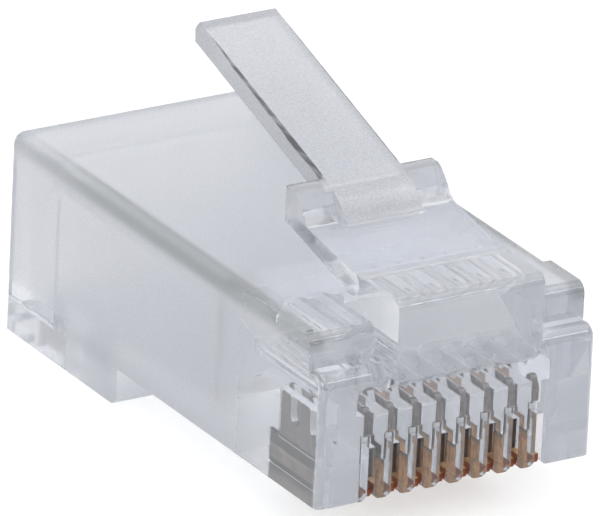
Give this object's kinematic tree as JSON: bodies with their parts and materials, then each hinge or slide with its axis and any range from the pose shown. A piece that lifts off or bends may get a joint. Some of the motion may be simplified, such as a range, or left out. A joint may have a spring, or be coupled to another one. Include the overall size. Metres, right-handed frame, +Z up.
{
  "type": "modular plug",
  "caption": "Clear uncrimped modular plug for network cable: comb of slots with blade contacts at the nose, sprung latch on top, open cable cavity at the rear.",
  "frame": {"origin": "middle of the bottom of the whole part, under the rear block", "axes": "+X across the width, the mating nose faces -Y and the cable enters from +Y, +Z up through the latch"},
  "size_m": [0.0116, 0.023, 0.0138],
  "materials": {
    "clear_plastic": "clear moulded polycarbonate with fine surface grain",
    "contact_metal": "plated, gold on the mating edge and nickel grey above"
  },
  "bodies": {
    "housing": {"housing": "clear_plastic", "contact_1": "contact_metal", "contact_2": "contact_metal", "contact_3": "contact_metal", "contact_4": "contact_metal", "contact_5": "contact_metal", "contact_6": "contact_metal", "contact_7": "contact_metal", "contact_8": "contact_metal"},
    "latch": {"latch": "clear_plastic"}
  },
  "joints": [
    {"name": "latch_press", "type": "hinge", "parent": "housing", "child": "latch", "pos_m": [0, -0.00826, 0.00889], "axis": [-1, 0, 0], "range_deg": [0, 16], "stiffness_Nm_per_rad": 0.15}
  ]
}
